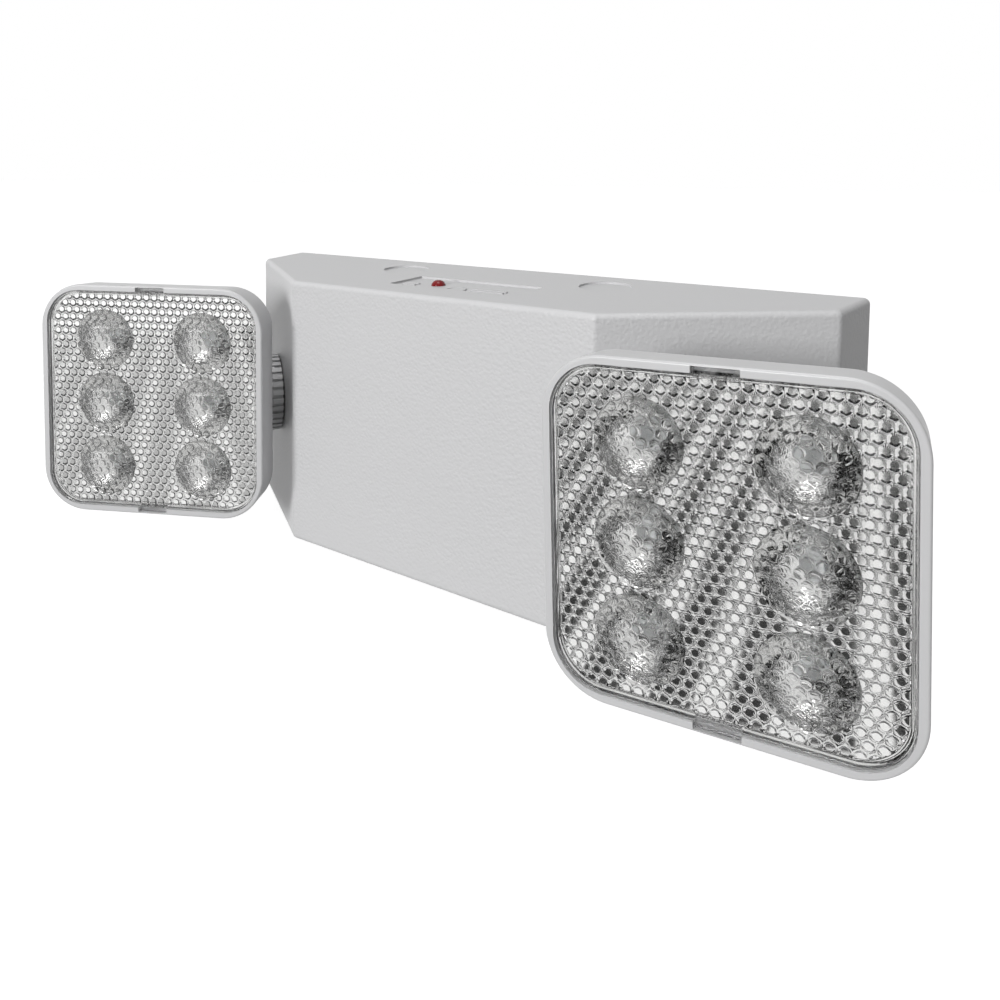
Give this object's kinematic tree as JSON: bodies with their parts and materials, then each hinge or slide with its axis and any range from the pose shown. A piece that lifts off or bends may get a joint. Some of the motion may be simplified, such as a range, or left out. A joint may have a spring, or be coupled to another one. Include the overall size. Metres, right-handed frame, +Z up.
{
  "type": "emergency light",
  "caption": "Wall-hung emergency light: slant-sided plastic case with square prismatic lamp heads on swivel and tilt knuckles, test button and charge dome.",
  "frame": {"origin": "centre of the wall screw pattern in the back plate's wall face", "axes": "+X to the right seen from the room, +Y into the wall, +Z up"},
  "size_m": [0.3427, 0.1321, 0.12],
  "materials": {
    "case_plastic": "moulded, fine leather grain on the front",
    "red_dome": "tinted, polished",
    "zinc_steel": "zinc plated",
    "dark_plastic": "moulded",
    "white_plastic": "moulded",
    "battery_wrap": "shrunk wrap",
    "core_iron": "varnished sheets",
    "copper_winding": "varnished winding",
    "green_board": "solder mask",
    "white_board": "solder mask",
    "can_sleeve": "shrunk sleeve",
    "aluminium_fins": "extruded",
    "clear_plastic": "clear, prismatic on the inside",
    "bright_reflector": "metallised",
    "lead_sheath": "extruded sheath"
  },
  "bodies": {
    "case": {"front_housing": "case_plastic", "back_plate": "case_plastic", "plate_screws": "zinc_steel", "battery_pack": "battery_wrap", "battery_strap": "zinc_steel", "transformer_core": "core_iron", "transformer_coil": "copper_winding", "transformer_bracket": "zinc_steel", "charger_board": "green_board", "transfer_relay": "dark_plastic", "capacitors": "can_sleeve", "heat_sink": "aluminium_fins", "terminal_block": "dark_plastic", "lead_sockets": "white_plastic", "lead_plugs": "white_plastic", "charge_indicator": "red_dome", "test_switch": "dark_plastic", "switch_board": "green_board", "switch_board_screws": "zinc_steel", "indicator_led": "clear_plastic", "battery_lead": "lead_sheath", "left_lamp_lead": "lead_sheath", "right_lamp_lead": "lead_sheath", "switch_lead": "lead_sheath", "transformer_lead": "lead_sheath"},
    "test_button_body": {"test_button": "case_plastic", "switch_plunger": "white_plastic"},
    "left_knuckle": {"left_swivel_knuckle": "case_plastic", "left_friction_washer": "dark_plastic", "left_spring_washer": "zinc_steel", "left_retaining_nut": "dark_plastic"},
    "left_head": {"left_lamp_housing": "case_plastic", "left_reflector": "bright_reflector", "left_lens": "clear_plastic", "left_light_board": "white_board", "left_lights": "clear_plastic", "left_light_board_screws": "zinc_steel", "left_tilt_pin": "zinc_steel", "left_tilt_nut": "zinc_steel"},
    "right_knuckle": {"right_swivel_knuckle": "case_plastic", "right_friction_washer": "dark_plastic", "right_spring_washer": "zinc_steel", "right_retaining_nut": "dark_plastic"},
    "right_head": {"right_lamp_housing": "case_plastic", "right_reflector": "bright_reflector", "right_lens": "clear_plastic", "right_light_board": "white_board", "right_lights": "clear_plastic", "right_light_board_screws": "zinc_steel", "right_tilt_pin": "zinc_steel", "right_tilt_nut": "zinc_steel"}
  },
  "joints": [
    {"name": "left_swivel", "type": "hinge", "parent": "case", "child": "left_knuckle", "pos_m": [-0.10288, -0.05166, 0], "axis": [-0.5404, -0.8414, 0], "range_deg": [-170, 170]},
    {"name": "left_tilt", "type": "hinge", "parent": "left_knuckle", "child": "left_head", "pos_m": [-0.12666, -0.08868, 0], "axis": [0.0073, -0.0047, 1], "range_deg": [-121, 2]},
    {"name": "right_swivel", "type": "hinge", "parent": "case", "child": "right_knuckle", "pos_m": [0.10288, -0.05166, 0], "axis": [0.5404, -0.8414, 0], "range_deg": [-170, 170]},
    {"name": "right_tilt", "type": "hinge", "parent": "right_knuckle", "child": "right_head", "pos_m": [0.12666, -0.08868, 0], "axis": [-0.0279, -0.0179, 0.9995], "range_deg": [-33, 90]},
    {"name": "test_button_press", "type": "slide", "parent": "case", "child": "test_button_body", "axis": [0, 0.0503, -0.9987], "range_m": [0, 0.001], "stiffness_N_per_m": 600, "springref_m": -0.0005}
  ]
}
